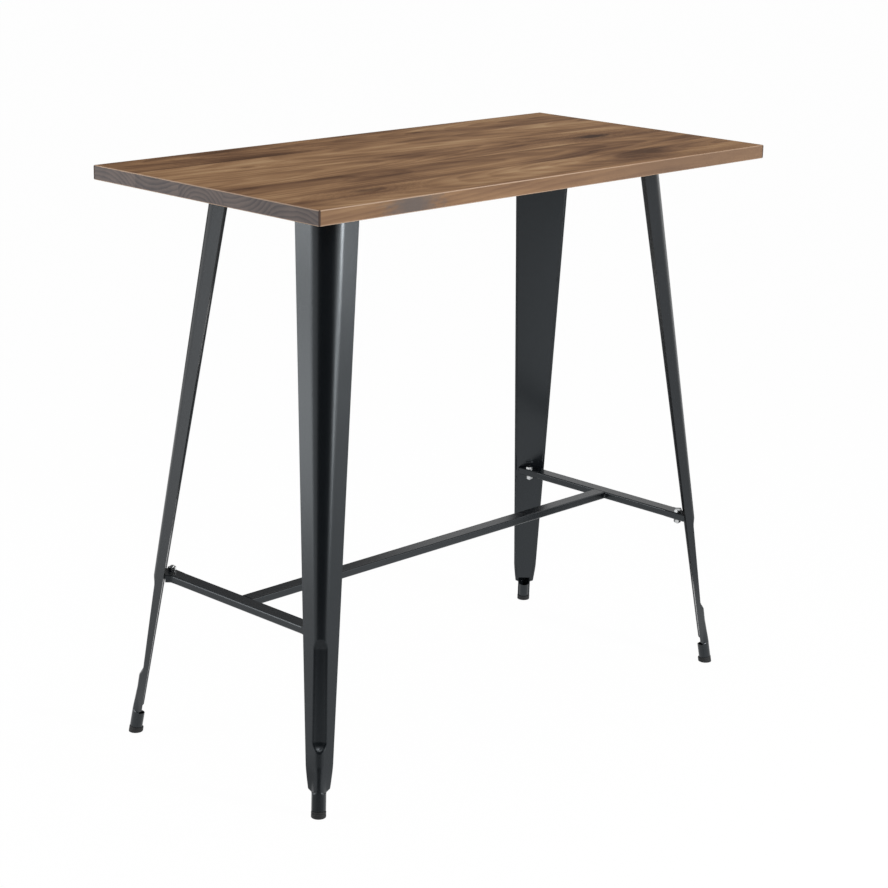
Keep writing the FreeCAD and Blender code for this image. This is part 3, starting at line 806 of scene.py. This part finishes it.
def threadedShank(low, high):
    plan = fastenerPlan
    around = plan["around"] // 2
    rows = round((high - low) / plan["pitch"] * plan["rowsPerPitch"])
    points = []
    for r in range(rows + 1):
        z = low + (high - low) * r / rows
        full = min(1, (high - z) / plan["boltPoint"])
        narrowed = plan["pointSize"] + (1 - plan["pointSize"]) * full
        for k in range(around):
            turn = 2 * math.pi * k / around
            phase = (z / plan["pitch"] - k / around) % 1
            valley = 1 - abs(2 * phase - 1)
            radius = (plan["boltRadius"] - plan["threadDepth"] * valley) * narrowed
            points.append((radius * math.cos(turn), radius * math.sin(turn), z))
    return points, gridFaces(rows + 1, around, ring=True) + endCaps(rows + 1, around)


def fastenerParts(signs):
    plan = fastenerPlan
    low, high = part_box("centre_rail")
    up = signs[0]   # head up at the right-hand legs, nut up at the left-hand ones
    x, y, middle = legPlace(plan["boltInward"], 0, (low.z + high.z) / 2, signs)
    through = high.z - low.z
    headSeat = Vector((x, y, middle + up * through / 2))
    nutSeat = Vector((x, y, middle - up * through / 2))
    axis = Vector((0, 0, up))
    head = placed(hexPart(plan["acrossFlats"], plan["headHeight"]), headSeat, axis)
    shank = threadedShank(through - plan["shankSunk"], through + plan["nutHeight"] + plan["tip"])
    nut = hexPart(plan["acrossFlats"], plan["nutHeight"], plan["boltRadius"])
    return [head, placed(shank, headSeat, -axis)], [placed(nut, nutSeat, -axis)]


bolts, nuts = [], []
for signs in corners.values():
    boltParts, nutParts = fastenerParts(signs)
    bolts += boltParts
    nuts += nutParts
for title, parts, node in (("zinc_bolts", bolts, "stretcher_bolts"), ("zinc_nuts", nuts, "stretcher_nuts")):
    piece = makePiece(title, *joinMeshes(parts), materials["zinc"])
    bevelled(piece, fastenerPlan["edge"], fastenerPlan["edgeAngle"])
    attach(piece, "root")
    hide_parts(node)

screwHeads = []
for signs in corners.values():
    for side in (-1, 1):
        place = legPlace(fastenerPlan["screwInward"], side * fastenerPlan["screwSide"], legTop, signs)
        head = hexPart(fastenerPlan["screwAcross"], fastenerPlan["screwHead"])
        screwHeads.append(placed(head, Vector(place), Vector((0, 0, -1))))
screwPiece = makePiece("mounting_screw_heads", *joinMeshes(screwHeads), materials["zinc"])
bevelled(screwPiece, fastenerPlan["edge"], fastenerPlan["edgeAngle"])
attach(screwPiece, "root")
print("fasteners done")


# Rubber feet: a turned pad with a soft lip and a groove, level with the floor

footPlan = {
    "radius": 0.0136, "height": 0.011, "lip": 0.0016, "stem": 0.0094, "stemTop": 0.025,
    "groove": 0.0006, "grooveAt": 0.0062, "grooveWidth": 0.0010, "floorLip": 0.0009, "lipRound": 0.3,
    "lipSteps": 5, "grooveSteps": 4, "around": 64,
}


def footProfile():
    plan = footPlan
    profile = [(plan["stem"], plan["stemTop"]), (plan["stem"], plan["height"])]
    for k in range(plan["lipSteps"] + 1):
        turn = math.pi / 2 * k / plan["lipSteps"]
        fromRim = plan["lip"] * (1 - math.sin(turn))
        profile.append((plan["radius"] - fromRim, plan["height"] - plan["lip"] * (1 - math.cos(turn))))
    for k in range(-plan["grooveSteps"], plan["grooveSteps"] + 1):
        across = k / plan["grooveSteps"]
        dip = plan["groove"] * (0.5 + 0.5 * math.cos(math.pi * across))
        profile.append((plan["radius"] - dip, plan["grooveAt"] - plan["grooveWidth"] * across))
    return profile


def rubberFoot(signs):
    plan = footPlan
    base, top = (Vector(legPlace(-legPlan["setback"], 0, height, signs)) for height in (0, underside))
    axis = (top - base).normalized()
    sideways = axis.cross(Vector((0, 0, 1))).normalized()
    outward = sideways.cross(axis)
    turns = [2 * math.pi * k / plan["around"] for k in range(plan["around"])]
    ways = [outward * math.cos(turn) + sideways * math.sin(turn) for turn in turns]
    points = [base + axis * along + way * radius for radius, along in footProfile() for way in ways]
    lip, soft = plan["floorLip"], plan["floorLip"] * plan["lipRound"]
    for above, inside in ((lip, 0), (soft, soft), (0, lip)):   # cut level with the floor
        for way in ways:
            point = base + way * (plan["radius"] - inside)
            points.append(point - axis * ((point.z - above) / axis.z))
    rings = len(points) // plan["around"]
    return points, gridFaces(rings, plan["around"], ring=True) + endCaps(rings, plan["around"])


pads = joinMeshes([rubberFoot(signs) for signs in corners.values()])
feet = makePiece("rubber_pads", *pads, materials["rubber"])
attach(feet, "root")
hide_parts("rubber_feet")
print("feet done")


# Stage: white floor, lamps round the table, and cards that only reflections see

stagePlan = {
    "floorHalf": 40.0,
    "floorColour": (0.80, 0.80, 0.80, 1),
    "floorOwnWhite": 0.98,
    "worldLight": 0.50,
    "lampsAimAt": 0.75,
    "cardsLow": 0.004,
}

# Lamps, by the turn round the table from the camera, to its right
lampPlans = {
    "key_high": {"turn": 60, "distance": 2.8, "height": 1.60, "width": 0.40, "tall": 1.4, "power": 70},
    "key_low": {"turn": 47, "distance": 2.8, "height": 0.66, "width": 0.45, "tall": 0.5, "power": 6.5},
    "right": {"turn": 92, "distance": 3.0, "height": 1.80, "width": 0.9, "tall": 1.4, "power": 4},
    "left_high": {"turn": -73, "distance": 2.8, "height": 1.60, "width": 1.5, "tall": 1.4, "power": 37},
    "left_low": {"turn": -73, "distance": 2.8, "height": 0.44, "width": 1.5, "tall": 0.6, "power": 8.5},
    "top": {"turn": 180, "distance": 0.3, "height": 3.0, "width": 2.4, "tall": 1.8, "power": 14},
    "glint": {"turn": 0, "distance": 1.9, "height": 2.6, "width": 0.2, "tall": 0.2, "power": 9},
}

# Cards: each lies level from near to far, then stands up from low to tall
cardPlans = {
    "near_floor": {"turn": -14, "near": 0.62, "far": 1.35, "half": 0.36, "tall": 0.005, "glow": 0.48},
    "camera_floor": {"turn": 0, "near": 1.35, "far": 2.6, "half": 1.8, "tall": 0.005, "glow": 0.55},
    "camera": {"turn": 0, "near": 2.6, "far": 3.2, "half": 2.2, "tall": 3.0, "glow": 0.003},
    "rear": {"turn": 167, "near": 0.75, "far": 3.2, "half": 1.0, "tall": 0.62, "glow": 0.02},
    "rear_left": {"turn": -155.3, "near": 3.2, "far": 3.3, "half": 1.7, "tall": 3.0, "glow": 0.15},
    "rear_right": {"turn": 165, "near": 3.3, "far": 3.4, "half": 1.3, "tall": 3.0, "glow": 0.72},
    "right": {"turn": 112, "near": 1.2, "far": 3.2, "half": 0.9, "tall": 1.6, "glow": 0.50},
    "left": {"turn": -114, "near": 0.70, "far": 3.2, "half": 0.9, "tall": 1.6, "glow": 0.74},
    "ceiling": {"turn": 0, "near": -2.6, "far": 2.6, "half": 2.6, "low": 3.3, "tall": 3.31, "glow": 0.10},
}

# The camera, fitted to the photograph's outline
viewPlan = {
    "target": (0.0137, 0.0, 0.5258),
    "turn": -46.03,
    "elevation": 15.98,
    "roll": 1.32,
    "distance": 4.3795,
    "lens": 90.06,
}


def addStagePiece(name, points, faces, material):
    piece = makePiece(name, points, faces, material, smooth=False)
    return piece


# 1 for what the camera, a reflection or clear stuff sees, 0 for what lights the table
def directlySeen(tree):
    path = addNode(tree, "ShaderNodeLightPath").outputs
    seen = maths(tree, "MAXIMUM", path["Is Camera Ray"], path["Is Glossy Ray"])
    return maths(tree, "MAXIMUM", seen, path["Is Transmission Ray"])


def makeWhiteFloor():
    material, tree, principled = newMaterial("white_floor", {
        "Base Color": stagePlan["floorColour"], "Roughness": 0.9, "Specular IOR Level": 0.0,
    })
    white = addNode(tree, "ShaderNodeEmission", {"Color": (1, 1, 1, 1), "Strength": 1.0})
    share = maths(tree, "MULTIPLY", directlySeen(tree), stagePlan["floorOwnWhite"])
    mixed = addNode(tree, "ShaderNodeMixShader", {0: share, 1: principled.outputs[0], 2: white.outputs[0]})
    tree.links.new(mixed.outputs[0], tree.nodes["Material Output"].inputs["Surface"])
    return material


half = stagePlan["floorHalf"]
floorCorners = [(-half, -half, 0), (half, -half, 0), (half, half, 0), (-half, half, 0)]
addStagePiece("floor", floorCorners, [(0, 1, 2, 3)], makeWhiteFloor())

world = bpy.data.worlds.new("studio")
bpy.context.scene.world = world
world.use_nodes = True
background = world.node_tree.nodes["Background"]
strength = addNode(world.node_tree, "ShaderNodeMapRange", {
    "Value": directlySeen(world.node_tree), "To Min": stagePlan["worldLight"], "To Max": 1.0,
}).outputs[0]
world.node_tree.links.new(strength, background.inputs["Strength"])
background.inputs["Color"].default_value = (1, 1, 1, 1)


def roundTable(turnDegrees, distance, height):
    turn = math.radians(viewPlan["turn"] + turnDegrees)
    return Vector((distance * math.sin(turn), -distance * math.cos(turn), height))


def addCard(name, plan):
    material = bpy.data.materials.new(name)
    material.use_nodes = True
    tree = material.node_tree
    tree.nodes.remove(tree.nodes["Principled BSDF"])
    glow = addNode(tree, "ShaderNodeEmission", {"Color": (1, 1, 1, 1), "Strength": plan["glow"]})
    tree.links.new(glow.outputs[0], tree.nodes["Material Output"].inputs["Surface"])
    across = roundTable(plan["turn"] + 90, plan["half"], 0)
    low = plan.get("low", stagePlan["cardsLow"])
    points = []
    for distance, height in ((plan["near"], low), (plan["far"], low), (plan["far"], plan["tall"])):
        centre = roundTable(plan["turn"], distance, height)
        points += [centre - across, centre + across]
    card = addStagePiece(name, points, [(0, 1, 3, 2), (2, 3, 5, 4)], material)
    card.visible_camera = False
    card.visible_diffuse = False
    card.visible_shadow = False


for name, plan in cardPlans.items():
    addCard(name + "_card", plan)

for name, plan in lampPlans.items():
    lamp = bpy.data.lights.new(name + "_lamp", "AREA")
    lamp.shape = "RECTANGLE"
    lamp.size = plan["width"]
    lamp.size_y = plan["tall"]
    lamp.energy = plan["power"]
    holder = bpy.data.objects.new(name + "_lamp", lamp)
    bpy.context.scene.collection.objects.link(holder)
    holder.location = roundTable(plan["turn"], plan["distance"], plan["height"])
    aim = Vector((0, 0, stagePlan["lampsAimAt"])) - holder.location
    holder.rotation_euler = aim.to_track_quat("-Z", "Y").to_euler()
    holder.visible_camera = False
    holder.visible_diffuse = name != "glint"   # the glint only shows in the paint

camera = bpy.data.cameras.new("photo_camera")
camera.sensor_width = 36
camera.lens = viewPlan["lens"]
camera.clip_end = 200
viewer = bpy.data.objects.new("photo_camera", camera)
bpy.context.scene.collection.objects.link(viewer)
tilt = math.radians(viewPlan["elevation"])
target = Vector(viewPlan["target"])
eye = target + roundTable(0, viewPlan["distance"] * math.cos(tilt), viewPlan["distance"] * math.sin(tilt))
ahead = (target - eye).normalized()
right = ahead.cross(Vector((0, 0, 1))).normalized()
above = right.cross(ahead)
roll = math.radians(viewPlan["roll"])
rolledRight = right * math.cos(roll) + above * math.sin(roll)
rolledUp = above * math.cos(roll) - right * math.sin(roll)
turned = Matrix((rolledRight, rolledUp, -ahead)).transposed()
viewer.matrix_world = Matrix.Translation(eye) @ turned.to_4x4()
bpy.context.scene.camera = viewer
bpy.context.scene.view_settings.view_transform = "Standard"
print("stage, lamps and camera done")
